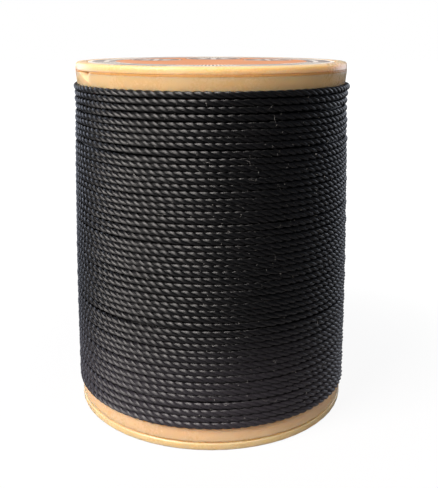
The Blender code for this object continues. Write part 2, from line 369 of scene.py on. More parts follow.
def dust_group():
    """Pale dust that settles on faces that look up."""
    inputs = {"Vector": None, "Amount": 0.3, "Scale": 2500.0}
    nodes, given, result = shader_group("Dust", inputs, ("Mask",))
    facing = nodes.fit(nodes.upward(), -0.2, 1.0)
    crumbs = nodes.noise(given["Vector"], given["Scale"], detail=4.0, roughness=0.8)
    specks = nodes.fit(crumbs, 0.58, 0.75)
    drift = nodes.noise(given["Vector"], 160.0, detail=3.0)
    mask = nodes.maths("MULTIPLY", nodes.maths("MULTIPLY", specks, drift), facing)
    nodes.feed(result["Mask"], nodes.maths("MULTIPLY", mask, given["Amount"], clamp=True))


def strand_group():
    """Filaments along a twisted thread, from its strand and crest attributes."""
    outputs = ("Crest", "Height", "Bloom")
    nodes, given, result = shader_group("Strands", {"Fineness": 7.0}, outputs)
    strand = nodes.add("ShaderNodeAttribute", attribute_name="strand").outputs["Vector"]
    crest = nodes.add("ShaderNodeAttribute", attribute_name="crest").outputs["Fac"]
    filaments = nodes.noise(strand, given["Fineness"], detail=3.0, roughness=0.6)
    lumps = nodes.noise(nodes.stretch(strand, (0.4, 0.4, 2.2)), 2.4, detail=2.0)
    spread = nodes.noise(nodes.place(), 260.0, detail=4.0, roughness=0.6)
    patches = nodes.fit(spread, 0.38, 0.66)
    high = nodes.fit(crest, 0.45, 1.0)
    streaks = nodes.fit(filaments, 0.35, 0.65, 0.35, 1.0)
    bloom = nodes.maths("MULTIPLY", nodes.maths("MULTIPLY", patches, high), streaks)
    nodes.feed(result["Crest"], crest)
    nodes.feed(result["Height"], nodes.maths("MULTIPLY_ADD", lumps, 0.5, filaments))
    nodes.feed(result["Bloom"], bloom)


def shared_groups():
    """Builds the shared effects once."""
    if "Mottle" not in bpy.data.node_groups:
        mottle_group()
        scuff_group()
        dust_group()
        strand_group()


# ---------------------------------------------------------------------------------------------
# Materials

PLASTIC_IOR = 1.5
PLASTIC_ROUGHNESS = 0.24
LIGHT_DEPTH = 2.5 * MM  # how far light spreads inside soft plastic
LIGHT_SPREAD = (1.0, 0.8, 0.5)  # share of that depth for red, green and blue
WAXED_IOR = 1.62
CREST_ROUGHNESS = 0.45
GROOVE_ROUGHNESS = 0.66
FILAMENT_GLOSS = 0.9  # how much wider the gloss is across the filaments than along them
BLOOM_SHARE = 0.2
# Painted light from the floor on the lowest turns: its share, and the heights over which it fades
# out
PAINTED_FLOOR_LIGHT_SHARE = 0.5
PAINTED_FLOOR_LIGHT_LOW = 1 * MM  # full below this height
PAINTED_FLOOR_LIGHT_HIGH = 22 * MM  # gone above this height
PAPER_IOR = 1.38
PAPER_ROUGHNESS = 0.40
FADED_SHARE = 0.14
LINT_ROUGHNESS = 0.75


def new_material(name):
    """A material with a Principled BSDF, its builder and the shader's inputs."""
    shared_groups()
    material = bpy.data.materials.new(name)
    material.use_nodes = True
    shader = material.node_tree.nodes["Principled BSDF"]
    return material, NodeBuilder(material.node_tree), shader.inputs


def rgba(colour):
    return (*colour, 1.0)


def plastic_material(name, base, colours, softness):
    """Satin plastic with flow mottle, rubbed edges and dust; softness lets light into it."""
    material, nodes, shader = new_material(name)
    place = nodes.place()
    deep = (base[0] * 0.97, base[1] * 0.93, base[2] * 0.86)
    pale = (min(1.0, base[0] * 1.02), base[1] * 1.07, base[2] * 1.25)
    mottle = nodes.group("Mottle", vector=place, patches=70.0, grain=2600.0)
    scuffs = nodes.group("Scuffs", vector=place, amount=0.35, scale=900.0)
    dust = nodes.group("Dust", vector=place, amount=0.5, scale=2600.0)
    tone = nodes.mix(mottle.outputs["Tone"], rgba(deep), rgba(base))
    rubbed = nodes.mix(scuffs.outputs["Mask"], tone, rgba(pale))
    dusted = nodes.mix(dust.outputs["Mask"], rubbed, rgba(colours.paper))
    nodes.feed(shader["Base Color"], dusted)
    rough = nodes.maths("MULTIPLY_ADD", mottle.outputs["Tone"], 0.10, PLASTIC_ROUGHNESS)
    worn = nodes.maths("MULTIPLY_ADD", scuffs.outputs["Mask"], 0.30, rough)
    nodes.feed(shader["Roughness"], nodes.maths("ADD", worn, dust.outputs["Mask"], clamp=True))
    grain = nodes.bump(mottle.outputs["Height"], 6 * MICRON, 0.35)
    nodes.feed(shader["Normal"], nodes.bump(scuffs.outputs["Height"], 12 * MICRON, 0.5, grain))
    shader["IOR"].default_value = PLASTIC_IOR
    shader["Subsurface Weight"].default_value = softness
    shader["Subsurface Radius"].default_value = LIGHT_SPREAD
    shader["Subsurface Scale"].default_value = LIGHT_DEPTH
    return material


def thread_material(colours):
    """Black waxed thread: grooves darkened by painted shade, filaments, a dull bloom of wax on the
    crests, and painted light from the floor on the lowest turns.
    """
    material, nodes, shader = new_material("black_waxed_thread")
    place = nodes.place()
    strands = nodes.group("Strands", fineness=7.0)
    dust = nodes.group("Dust", vector=place, amount=0.08, scale=3200.0)
    raised = nodes.fit(strands.outputs["Crest"], 0.1, 0.8)
    # Painted shade: the colour darkens from the crests down into the grooves
    groove_shaded = nodes.mix(raised, rgba(colours.groove), rgba(colours.thread))
    bloom = nodes.maths("MULTIPLY", strands.outputs["Bloom"], BLOOM_SHARE)
    waxed = nodes.mix(bloom, groove_shaded, rgba(colours.bloom))
    # Painted light: the lowest turns are lightened as if by light from the floor, fading out
    # upwards
    low = nodes.fit(nodes.split(place)["Z"], PAINTED_FLOOR_LIGHT_LOW, PAINTED_FLOOR_LIGHT_HIGH, PAINTED_FLOOR_LIGHT_SHARE, 0.0)
    floor_lit = nodes.mix(low, waxed, rgba(colours.painted_floor_light))
    dusted = nodes.mix(dust.outputs["Mask"], floor_lit, rgba(colours.lint))
    nodes.feed(shader["Base Color"], dusted)
    rough = nodes.fit(strands.outputs["Crest"], 0.0, 0.8, GROOVE_ROUGHNESS, CREST_ROUGHNESS)
    dulled = nodes.maths("MULTIPLY_ADD", strands.outputs["Bloom"], 0.10, rough)
    nodes.feed(shader["Roughness"], dulled)
    nodes.feed(shader["Normal"], nodes.bump(strands.outputs["Height"], 20 * MICRON, 0.5))
    nodes.feed(shader["Tangent"], across_filaments(nodes, place))
    shader["Anisotropic"].default_value = FILAMENT_GLOSS
    shader["IOR"].default_value = WAXED_IOR
    return material


def across_filaments(nodes, place):
    """The way across the filaments, which run round the spool and drop a little to the right."""
    parts = nodes.split(place)
    away = nodes.add("ShaderNodeCombineXYZ", {0: parts["X"], 1: parts["Y"]}).outputs[0]
    outward = nodes.add("ShaderNodeVectorMath", {0: away}, operation="NORMALIZE").outputs[0]
    flat = nodes.split(outward)
    across = {
        0: nodes.maths("MULTIPLY", flat["Y"], -math.sin(FILAMENT_DROP)),
        1: nodes.maths("MULTIPLY", flat["X"], math.sin(FILAMENT_DROP)),
        2: math.cos(FILAMENT_DROP),
    }
    return nodes.add("ShaderNodeCombineXYZ", across).outputs[0]


# ---------------------------------------------------------------------------------------------
# Label design


class LabelDesign:
    """A printed disc: grey ring with ticked panels, pale line, orange field and rosettes."""

    EDGE = 19.7 * MM
    LINE_OUTER = 17.8 * MM
    LINE_INNER = 17.0 * MM
    FIELD = 15.9 * MM
    TICK_INNER = 16.1 * MM
    TICK_OUTER = 19.6 * MM
    TICKS_ROUND = 212
    PANELS = 6
    PANEL_TURN = math.radians(3.5)  # the front panel's centre, towards -X
    SOFT = 0.03 * MM
    ROSETTES = ((-9.6, 5.0, 4.6), (0.4, 10.8, 5.2), (9.8, 4.6, 4.4))  # x, y, radius in mm
    PETALS = 8

    def __init__(self, nodes, colours):
        self.nodes = nodes
        self.colours = colours
        self.place = nodes.place()
        self.parts = nodes.split(self.place)

    def polar(self, x=0.0, y=0.0):
        """Radius and angle about a point of the disc."""
        nodes = self.nodes
        across = nodes.maths("SUBTRACT", self.parts["X"], x)
        along = nodes.maths("SUBTRACT", self.parts["Y"], y)
        square = nodes.maths("MULTIPLY_ADD", along, along, nodes.maths("MULTIPLY", across, across))
        return nodes.maths("SQRT", square), nodes.maths("ARCTAN2", across, along)

    def inside(self, radius, edge):
        """1 inside an edge and 0 outside it; the edge is a radius or a socket."""
        nodes = self.nodes
        over = nodes.maths("SUBTRACT", radius, edge)
        return nodes.fit(over, -self.SOFT, self.SOFT, 1.0, 0.0)

    def band(self, radius, inner, outer):
        return self.nodes.maths(
            "SUBTRACT", self.inside(radius, outer), self.inside(radius, inner), clamp=True
        )

    def panels(self, angle):
        """1 in the sectors of the ring that stay pale and carry ticks."""
        nodes = self.nodes
        turned = nodes.maths("ADD", angle, math.pi - self.PANEL_TURN)
        sector = nodes.maths("COSINE", nodes.maths("MULTIPLY", turned, float(self.PANELS)))
        return nodes.fit(sector, -0.06, 0.02)

    def ticks(self, radius, angle):
        """Fine radial strokes all round the ring."""
        nodes = self.nodes
        turn = nodes.maths("MULTIPLY", angle, self.TICKS_ROUND / (2 * math.pi))
        off = nodes.maths("ABSOLUTE", nodes.maths("SUBTRACT", nodes.maths("FRACT", turn), 0.5))
        stroke = nodes.fit(off, 0.20, 0.26, 1.0, 0.0)
        return nodes.maths("MULTIPLY", stroke, self.band(radius, self.TICK_INNER, self.TICK_OUTER))

    def rosette(self, colour, x, y, size):
        """A plain rosette: brown disc, cream petals round a cream eye, and a cream rim line."""
        nodes = self.nodes
        radius, angle = self.polar(x, y)
        wave = nodes.maths("COSINE", nodes.maths("MULTIPLY", angle, float(self.PETALS)))
        petal = nodes.maths("MULTIPLY_ADD", wave, size * 0.26, size * 0.50)
        colour = nodes.mix(self.inside(radius, size), colour, rgba(self.colours.brown))
        colour = nodes.mix(self.inside(radius, petal), colour, rgba(self.colours.paper))
        colour = nodes.mix(self.inside(radius, size * 0.30), colour, rgba(self.colours.grey))
        colour = nodes.mix(self.inside(radius, size * 0.14), colour, rgba(self.colours.paper))
        rim = self.band(radius, size * 0.88, size * 0.94)
        return nodes.mix(rim, colour, rgba(self.colours.paper))

    def colour(self):
        nodes, colours = self.nodes, self.colours
        radius, angle = self.polar()
        colour = nodes.mix(self.inside(radius, self.EDGE), rgba(colours.paper), rgba(colours.grey))
        line = self.band(radius, self.LINE_INNER, self.LINE_OUTER)
        colour = nodes.mix(line, colour, rgba(colours.paper))
        panels = self.panels(angle)
        ring = self.band(radius, self.FIELD, self.EDGE)
        colour = nodes.mix(nodes.maths("MULTIPLY", panels, ring), colour, rgba(colours.paper))
        inked = nodes.maths("MULTIPLY", panels, self.ticks(radius, angle))
        colour = nodes.mix(inked, colour, rgba(colours.brown))
        colour = nodes.mix(self.inside(radius, self.FIELD), colour, rgba(colours.orange))
        for x, y, size in self.ROSETTES:
            colour = self.rosette(colour, x * MM, y * MM, size * MM)
        return colour


def label_material(colours):
    """Printed paper: the design, faded ink, rubbed edges, paper tooth and dust."""
    material, nodes, shader = new_material("printed_label")
    design = LabelDesign(nodes, colours)
    mottle = nodes.group("Mottle", vector=design.place, patches=220.0, grain=5200.0)
    scuffs = nodes.group("Scuffs", vector=design.place, amount=0.8, scale=1500.0)
    dust = nodes.group("Dust", vector=design.place, amount=0.35, scale=2600.0)
    ink = design.colour()
    fading = nodes.maths("MULTIPLY", mottle.outputs["Tone"], FADED_SHARE)
    faded = nodes.mix(fading, ink, rgba(colours.paper))
    rubbed = nodes.mix(scuffs.outputs["Mask"], faded, rgba(colours.paper))
    dusted = nodes.mix(dust.outputs["Mask"], rubbed, rgba(colours.lint))
    side = nodes.fit(nodes.maths("SUBTRACT", design.parts["Z"], LABEL_TOP), -0.5 * MM, -0.02 * MM)
    nodes.feed(shader["Base Color"], nodes.mix(side, rgba(colours.paper), dusted))
    rough = nodes.maths("MULTIPLY_ADD", mottle.outputs["Tone"], 0.12, PAPER_ROUGHNESS)
    nodes.feed(shader["Roughness"], nodes.maths("ADD", rough, scuffs.outputs["Mask"], clamp=True))
    nodes.feed(shader["Normal"], nodes.bump(mottle.outputs["Height"], 8 * MICRON, 0.5))
    shader["IOR"].default_value = PAPER_IOR
    return material


def lint_material(colours):
    """Pale crumbs and fibres, each of its own tone."""
    material, nodes, shader = new_material("lint")
    mottle = nodes.group("Mottle", vector=nodes.place(), patches=900.0, grain=9000.0)
    base = colours.lint
    dull = (base[0] * 0.35, base[1] * 0.34, base[2] * 0.33)
    nodes.feed(shader["Base Color"], nodes.mix(mottle.outputs["Tone"], rgba(dull), rgba(base)))
    nodes.feed(shader["Normal"], nodes.bump(mottle.outputs["Height"], 4 * MICRON, 0.5))
    shader["Roughness"].default_value = LINT_ROUGHNESS
    return material


# ---------------------------------------------------------------------------------------------
# Meshes


def new_object(name, data):
    made = bpy.data.objects.new(name, data)
    bpy.context.scene.collection.objects.link(made)
    return made


def new_piece(mesh, material, body):
    """A piece named after its mesh that rides on a body and takes the given material."""
    piece = new_object(mesh.name, mesh)
    mesh.materials.append(material)
    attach(piece, body)
    return piece


def finished_mesh(shape, name):
    mesh = bpy.data.meshes.new(name)
    shape.to_mesh(mesh)
    shape.free()
    return mesh


def mesh_from_grid(name, points, capped):
    """A mesh from rows of points that each close on themselves; its end rows can be capped."""
    rows, columns = points.shape[:2]
    index = np.arange(rows * columns).reshape(rows, columns)
    right = np.roll(index, -1, axis=1)
    quads = np.stack([index[:-1], index[1:], right[1:], right[:-1]], axis=-1).reshape(-1, 4)
    faces = [index[0], index[-1][::-1]] if capped else []
    corners = np.concatenate([quads.ravel(), *faces])
    sizes = np.array([4] * len(quads) + [columns] * len(faces))
    starts = np.concatenate([[0], np.cumsum(sizes)[:-1]])
    mesh = bpy.data.meshes.new(name)
    mesh.vertices.add(rows * columns)
    mesh.vertices.foreach_set("co", points.astype(np.float32).ravel())
    mesh.loops.add(len(corners))
    mesh.loops.foreach_set("vertex_index", corners.astype(np.int32))
    mesh.polygons.add(len(sizes))
    mesh.polygons.foreach_set("loop_start", starts.astype(np.int32))
    mesh.update(calc_edges=True)
    mesh.shade_smooth()
    return mesh


def join_ring(mesh):
    """Joins the first and last rows of a mesh that goes all the way round."""
    shape = bmesh.new()
    shape.from_mesh(mesh)
    bmesh.ops.remove_doubles(shape, verts=shape.verts, dist=MICRON)
    bmesh.ops.recalc_face_normals(shape, faces=shape.faces)
    shape.to_mesh(mesh)
    shape.free()


def turned_points(radius, level, azimuth):
    """Points of a section, radius and level, at each azimuth."""
    radius, level = np.broadcast_arrays(radius, level)
    azimuth = azimuth[:, None]
    return np.stack([radius * np.sin(azimuth), -radius * np.cos(azimuth), level], axis=-1)


def cap_edges_sharp(mesh, columns):
    """Keeps the flat end caps out of the sides' smooth shading."""
    sharp = mesh.attributes.get("sharp_edge")
    if sharp is None:
        sharp = mesh.attributes.new("sharp_edge", "BOOLEAN", "EDGE")
    last = len(mesh.vertices) - columns
    ends = np.empty(len(mesh.edges) * 2, np.int32)
    mesh.edges.foreach_get("vertices", ends)
    ends = ends.reshape(-1, 2)
    on_cap = (ends < columns).all(1) | (ends >= last).all(1)
    sharp.data.foreach_set("value", on_cap)


def wander(position, cycles, size, rng):
    """A smooth random line along the thread: sines of unlike lengths, position in turns."""
    total = np.zeros_like(position)
    for cycle in cycles:
        total += np.sin(2 * math.pi * (cycle * position + rng.random())) / len(cycles) ** 0.5
    return total * size


def eased(value):
    value = np.clip(value, 0.0, 1.0)
    return value * value * (3 - 2 * value)


def helix_progress(turn, total):
    """Turns gone by, flat against each flange at first and even after a few turns."""
    for from_top in (True, False):
        along = turn if from_top else total - turn
        whole = np.floor(along)
        part = along - whole
        hold = np.clip(1 - whole / EASED_TURNS, 0.0, 1.0)
        shift = hold * (part - part**7)
        turn = turn - shift if from_top else turn + shift
    return turn


def winding_path(sizes):
    """The outer layer's centre line from the top: turn, azimuth, radius, height, arc length."""
    rng = np.random.default_rng(WINDING_SEED)
    total = sizes.full_turns + (END_AZIMUTH - START_AZIMUTH) / (2 * math.pi)
    length = total * 2 * math.pi * sizes.winding_radius
    turn = np.linspace(0.0, total, int(length / RING_SPACING))
    azimuth = START_AZIMUTH + 2 * math.pi * turn

    gaps = rng.exponential(1.0, sizes.full_turns + 1)
    for row, size in WIDE_GAPS:
        if row < len(gaps):
            gaps[row] = size
    top = WOUND_HIGH + RIM_OVERLAP - sizes.thread_diameter / 2
    span = top - (WOUND_LOW - RIM_OVERLAP + sizes.thread_diameter / 2)
    progress = helix_progress(turn, total)
    opened = sum(gap * eased(turn - row) for row, gap in enumerate(gaps))
    packed = PACKING * sizes.thread_diameter
    loose = (span - packed * total) / opened[-1]
    height = top - packed * progress - loose * opened
    height += wander(turn, (0.37, 0.83, 1.43, 2.31), HEIGHT_WANDER, rng) * eased(turn / 2)
    near_bottom = np.exp(-(total - turn) / END_FADE)
    height += FRONT_LIFT * near_bottom * np.maximum(np.cos(azimuth), 0.0) ** 2

    share = (height - WOUND_LOW) / (WOUND_HIGH - WOUND_LOW)
    drift = np.interp(share, DRIFT_HEIGHTS, DRIFT_RADII) * MM
    radius = sizes.winding_radius - sizes.thread_diameter / 2 + drift
    radius += wander(turn, (0.29, 0.71, 1.57, 2.63, 4.41), RADIUS_WANDER, rng)
    near_top = np.exp(-turn / END_FADE)
    radius += near_top * (TOP_SLACK + TOP_SWAY * np.sin(azimuth * 2.0 + 0.6))
    proud_turn = (PROUD_AZIMUTH - START_AZIMUTH) / (2 * math.pi) + 1
    radius += PROUD_BULGE * np.exp(-(((turn - proud_turn) / PROUD_TURNS) ** 2))
    radius += BOTTOM_SLACK * near_bottom

    step = np.hypot(np.diff(azimuth) * (radius[1:] + radius[:-1]) / 2, np.diff(height))
    along = np.concatenate([[0.0], np.cumsum(step)])
    return turn, azimuth, radius, height, along


def ply_section():
    """Angles and radii of a section through the pressed plies, with crest radius 1."""
    local, radius = np.array(PLY_SECTION).T
    turns = 2 * math.pi * np.arange(PLIES) / PLIES
    return (np.radians(local) + turns[:, None]).ravel(), np.tile(radius, PLIES)


def thread_rings(sizes):
    """Points of every ring of the thread, and per point its crest height and strand position."""
    rng = np.random.default_rng(TWIST_SEED)
    turn, azimuth, radius, height, along = winding_path(sizes)
    angles, reach = ply_section()
    twist = 2 * math.pi * along / sizes.ply_lay
    twist += wander(turn, (0.53, 1.91, 5.3), TWIST_WANDER, rng)
    fat = 1 + wander(turn, (0.61, 3.7, 11.3), FATNESS_WANDER, rng)
    angle = angles[None, :] - twist[:, None]
    lobe = reach[None, :] * fat[:, None] * sizes.thread_diameter / 2
    out = radius[:, None] + lobe * np.cos(angle)
    up = height[:, None] + lobe * PRESSED_HEIGHT * np.sin(angle)
    points = np.stack(
        [out * np.sin(azimuth)[:, None], -out * np.cos(azimuth)[:, None], up], axis=-1
    )
    crest = np.broadcast_to((reach - reach.min()) / np.ptp(reach), angle.shape)
    strand_turn = STRAND_TWIST * angle + (1 - STRAND_TWIST) * angles[None, :]
    strand_length = np.broadcast_to((along / MM * STRAND_STRETCH)[:, None], angle.shape)
    strand = np.stack([np.cos(strand_turn), np.sin(strand_turn), strand_length], axis=-1)
    return turn, points, crest, strand


def keep_strands(mesh, crest, strand):
    """Keeps each point's crest height and strand position for the thread's material."""
    attribute = mesh.attributes.new("crest", "FLOAT", "POINT")
    attribute.data.foreach_set("value", crest.astype(np.float32).ravel())
    attribute = mesh.attributes.new("strand", "FLOAT_VECTOR", "POINT")
    attribute.data.foreach_set("vector", strand.astype(np.float32).ravel())


def texture_rows(mesh, turn, columns):
    """A texture map with one row for each turn of the thread, and a dot for each end cap."""
    row_margin, dot = 0.04, 0.001
    layer = mesh.uv_layers.new(name="OFBake")
    first = math.floor(turn[0] + TURN_TOLERANCE)
    rows = math.ceil(turn[-1]) - first
    vertex = np.empty(len(mesh.loops), np.int32)
    mesh.loops.foreach_get("vertex_index", vertex)
    ring, column = vertex // columns, vertex % columns
    face_start = np.empty(len(mesh.polygons), np.int32)
    face_size = np.empty(len(mesh.polygons), np.int32)
    mesh.polygons.foreach_get("loop_start", face_start)
    mesh.polygons.foreach_get("loop_total", face_size)
    base_ring = np.repeat(ring[face_start], face_size)
    base_column = np.repeat(column[face_start], face_size)
    row = np.floor(turn[base_ring] - first + TURN_TOLERANCE)
    wrapped = (column < base_column) & (base_column == columns - 1)
    across = (column + columns * wrapped) / columns
    u = turn[ring] - first - row
    v = (row + row_margin + (1 - 2 * row_margin) * across) / rows
    cap = np.repeat(face_size == columns, face_size)
    u = np.where(cap, 0.5 + dot * np.cos(column), u)
    layer.uv.foreach_set("vector", np.column_stack([u, v]).astype(np.float32).ravel())


def build_outer_layer(sizes, material):
    """The turns that show, as lengths of one thread that meet at the back."""
    turn, points, crest, strand = thread_rings(sizes)
    columns = points.shape[1]
    offset = (math.pi - START_AZIMUTH) / (2 * math.pi)
    inner_cuts = np.round(np.linspace(0, sizes.full_turns, WINDING_PIECES + 1))[1:-1] + offset
    cuts = [0, *np.searchsorted(turn, inner_cuts), len(turn) - 1]
    for number, (first, last) in enumerate(zip(cuts[:-1], cuts[1:]), start=1):
        part = slice(first, last + 1)
        mesh = mesh_from_grid(f"thread_turns_{number}", points[part], capped=True)
        cap_edges_sharp(mesh, columns)
        keep_strands(mesh, crest[part], strand[part])
        texture_rows(mesh, turn[part], columns)
        piece = new_piece(mesh, material, "spool")
        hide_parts("thread_outer_layer")


def build_inner_layers(sizes, material):
    """The layer below, seen only in the gaps: a turned core with a ridge for each of its turns."""
    segments, ridge_points = 96, 5
    strands_round, strands_up = 85.0, 6.0
    ridges = sizes.full_turns
    rows = ridges * ridge_points + 1
    share = np.linspace(0.0, 1.0, rows)
    height = CORE_LOW + (CORE_HIGH - CORE_LOW) * share
    ridge = np.abs(np.sin(math.pi * share * ridges))
    crest_radius = sizes.winding_radius - UNDER_LAYER_DEPTH * sizes.thread_diameter
    depth = UNDER_RIDGE_DEPTH * sizes.thread_diameter
    outer = crest_radius - depth * (1 - ridge)
    inner_radius = BARREL_RADIUS + FIT_GAP
    radius = np.concatenate([[inner_radius], outer, [inner_radius]])
    level = np.concatenate([[CORE_LOW], height, [CORE_HIGH]])
    crest = np.concatenate([[0.0], ridge, [0.0]])
    azimuth = 2 * math.pi * np.arange(segments + 1) / segments
    points = turned_points(np.tile(radius, (segments + 1, 1)), level, azimuth)
    mesh = mesh_from_grid("thread_under_layer", points, capped=False)
    wraps = azimuth[:, None] * strands_round + level[None, :] / MM * strands_up
    strand = np.stack([np.cos(wraps), np.sin(wraps), np.sin(wraps * 0.5)], axis=-1)
    keep_strands(mesh, np.broadcast_to(crest, wraps.shape), strand)
    join_ring(mesh)
    piece = new_piece(mesh, material, "spool")
    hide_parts("thread_inner_layers")


def build_label(material):
    """A thin paper disc, a little wavy, with its rim lifting in one place."""
    segments = 144
    azimuth = 2 * math.pi * np.arange(segments) / segments
    wave = sum(size * np.sin(count * azimuth + start) for count, size, start in LABEL_WAVES)
    lift = LABEL_LIFT * np.exp(-(((azimuth - LABEL_LIFT_AZIMUTH) / LABEL_LIFT_WIDTH) ** 2))
    shape = bmesh.new()

    def surface(drop):
        layer = []
        for share in LABEL_RINGS:
            radius = share * LABEL_RADIUS
            height = LABEL_TOP - drop + MM * share**3 * (wave + lift - LABEL_SAG)
            places = zip(radius * np.sin(azimuth), -radius * np.cos(azimuth), height)
            layer.append([shape.verts.new(place) for place in places])
        return shape.verts.new((0.0, 0.0, LABEL_TOP - drop)), layer

    top_middle, top = surface(0.0)
    low_middle, low = surface(LABEL_THICKNESS)
    for middle, layer, flip in ((top_middle, top, False), (low_middle, low, True)):
        for index in range(segments):
            after = (index + 1) % segments
            faces = [(middle, layer[0][index], layer[0][after])]
            for inner, outer in zip(layer[:-1], layer[1:]):
                faces.append((inner[index], outer[index], outer[after], inner[after]))
            for face in faces:
                shape.faces.new(face[::-1] if flip else face)
    for index in range(segments):
        after = (index + 1) % segments
        shape.faces.new((low[-1][index], low[-1][after], top[-1][after], top[-1][index]))
    mesh = finished_mesh(shape, "printed_label_disc")
    mesh.shade_smooth()
    mesh.set_sharp_from_angle(angle=math.radians(40))
    piece = new_piece(mesh, material, "upper_cap")
    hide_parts("top_label")


def dress_node(node, material):
    """Gives a CAD node its material and smooth shading, with its vertices untouched."""
    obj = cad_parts[node]
    obj.data.materials.clear()
    obj.data.materials.append(material)
    obj.data.shade_smooth()
    weld = obj.modifiers.new("weld", "WELD")
    weld.merge_threshold = 2 * MICRON
    split = obj.modifiers.new("hard_edges", "EDGE_SPLIT")
    split.split_angle = math.radians(28)


def build_pinch_lips(material):
    """A lip in each seam, coloured with the seam's painted shade.

    The upper one fills its seam almost flush and dips behind the thread notch; the lower one
    stands back.
    """
    azimuth = 2 * math.pi * np.arange(LIP_STEPS + 1) / LIP_STEPS
    away = np.abs((azimuth - NOTCH_AZIMUTH + math.pi) % (2 * math.pi) - math.pi)
    dip = NOTCH_DEPTH * np.clip(1 - away / NOTCH_HALF_ANGLE, 0.0, 1.0)
    seams = (
        ("upper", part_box("upper_flange")[1].z, 1, dip, UPPER_LIP),
        ("lower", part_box("lower_flange")[0].z, -1, np.zeros_like(dip), LOWER_LIP),
    )
    for end, face, way, inward, section in seams:
        inset, rise = np.array(section).T * MM
        radius = RIM_RADIUS - inset - inward[:, None] * (inset < LIP_WIDTH * MM)
        points = turned_points(radius, face + way * rise, azimuth)
        mesh = mesh_from_grid(f"{end}_pinch_lip", points, capped=False)
        join_ring(mesh)
        mesh.set_sharp_from_angle(angle=math.radians(30))
        new_piece(mesh, material, "spool")


def add_speck(shape, position, size, rng):
    """An irregular crumb."""
    made = bmesh.ops.create_icosphere(shape, subdivisions=1, radius=size)["verts"]
    turn = Euler(rng.uniform(0, 2 * math.pi, 3)).to_matrix()
    start = Vector(position) * SPECK_NOISE_STEP
    for vert in made:
        bump = noise.noise(vert.co / size * SPECK_BUMPS + start)
        vert.co = turn @ (vert.co * (1 + SPECK_BUMP_HEIGHT * bump)) + Vector(position)


def add_fibre(shape, start, heading, length, radius, rng):
    """A curved hair of three sides that lies on the thread and tapers at its ends."""
    steps, sides = 9, 3
    bend = rng.normal(0.0, FIBRE_BEND)
    rings = []
    azimuth, height, out = start
    for step in range(steps + 1):
        swell = math.sin(math.pi * step / steps)
        width = radius * (FIBRE_TIP + (1 - FIBRE_TIP) * swell)
        lift = out + FIBRE_ARCH * swell
        middle = Vector((lift * math.sin(azimuth), -lift * math.cos(azimuth), height))
        outward = Vector((math.sin(azimuth), -math.cos(azimuth), 0.0))
        along = Vector((math.cos(azimuth), math.sin(azimuth), 0.0)) * math.cos(heading)
        along.z = math.sin(heading)
        side = outward.cross(along)
        ring = []
        for corner in range(sides):
            angle = 2 * math.pi * corner / sides
            off = outward * math.cos(angle) + side * math.sin(angle)
            ring.append(shape.verts.new(middle + off * width))
        rings.append(ring)
        azimuth += math.cos(heading) * length / steps / out
        height += math.sin(heading) * length / steps
        heading += bend / steps
    for before, after in zip(rings[:-1], rings[1:]):
        for corner in range(sides):
            other = (corner + 1) % sides
            shape.faces.new((before[corner], after[corner], after[other], before[other]))
    shape.faces.new(rings[0])
    shape.faces.new(rings[-1][::-1])


def build_dust(sizes, material):
    """Crumbs and lint on the winding, most of them right of the front, a few all round."""
    rng = np.random.default_rng(DUST_SEED)
    shape = bmesh.new()
    surface = sizes.winding_radius - SPECK_SINK
    shortest, longest = FIBRE_LENGTHS

    def place(index, spread):
        """Azimuth and height of the next crumb or fibre; three in five are near the cluster."""
        if index % 5 < 3:
            azimuth = rng.normal(DUST_AZIMUTH, spread)
        else:
            azimuth = rng.uniform(-math.pi, math.pi)
        return azimuth, rng.uniform(WOUND_LOW + DUST_MARGIN, WOUND_HIGH - DUST_MARGIN)

    for index in range(sizes.speck_count):
        azimuth, height = place(index, SPECK_SPREAD)
        size = rng.uniform(*SPECK_RADII) * MM
        if rng.random() < BIG_SPECK_SHARE:
            size *= BIG_SPECK
        position = (surface * math.sin(azimuth), -surface * math.cos(azimuth), height)
        add_speck(shape, position, size, rng)
    for index in range(sizes.fibre_count):
        azimuth, height = place(index, FIBRE_SPREAD)
        length = (shortest + (longest - shortest) * rng.random() ** 3) * MM
        start = (azimuth, height, surface + FIBRE_LIFT)
        add_fibre(shape, start, rng.uniform(0, 2 * math.pi), length, sizes.fibre_radius, rng)
    bmesh.ops.recalc_face_normals(shape, faces=shape.faces)
    mesh = finished_mesh(shape, "dust_and_lint")
    mesh.shade_smooth()
    new_piece(mesh, material, "spool")


# ---------------------------------------------------------------------------------------------
# Stage: camera, floor, lamps and world

CAMERA_PLACE = Vector((0.0, -124.35 * MM, 61.53 * MM))
CAMERA_PITCH = math.radians(8.37)  # below the horizon
PHOTO_WIDTH, PHOTO_HEIGHT = 438, 488
FOCAL_PIXELS = 737.8
AXIS_PIXEL = (211.2, 142.0)  # where the lens axis meets the picture
SENSOR_HEIGHT_MM = 36.0

WHITE = (1.0, 1.0, 1.0)
# The room as it lights the object
ROOM_FRONT = (0.035, 0.042, 0.055)
ROOM_ABOVE = (0.10, 0.11, 0.13)
ROOM_BEHIND = (0.32, 0.35, 0.42)

FLOOR_SIZE = 3.0
FLOOR_GAP = 0.02 * MM
FLOOR_ROUGHNESS = 0.8
FLOOR_MOTTLE = 0.985  # darkest tone beside the palest
FLOOR_DIM = 0.15  # tone away from the object, so that little light comes up from there
FLOOR_DIM_RADII = (0.035, 0.09)  # metres over which it dims
FLOOR_GLOW = 1.15
FLOOR_GLOW_SHARE = 0.8  # under the object, where the shadow still shows
FLOOR_GLOW_RADII = (0.03, 0.12)  # metres over which the glow takes over

LAMP_DISTANCE = 0.60
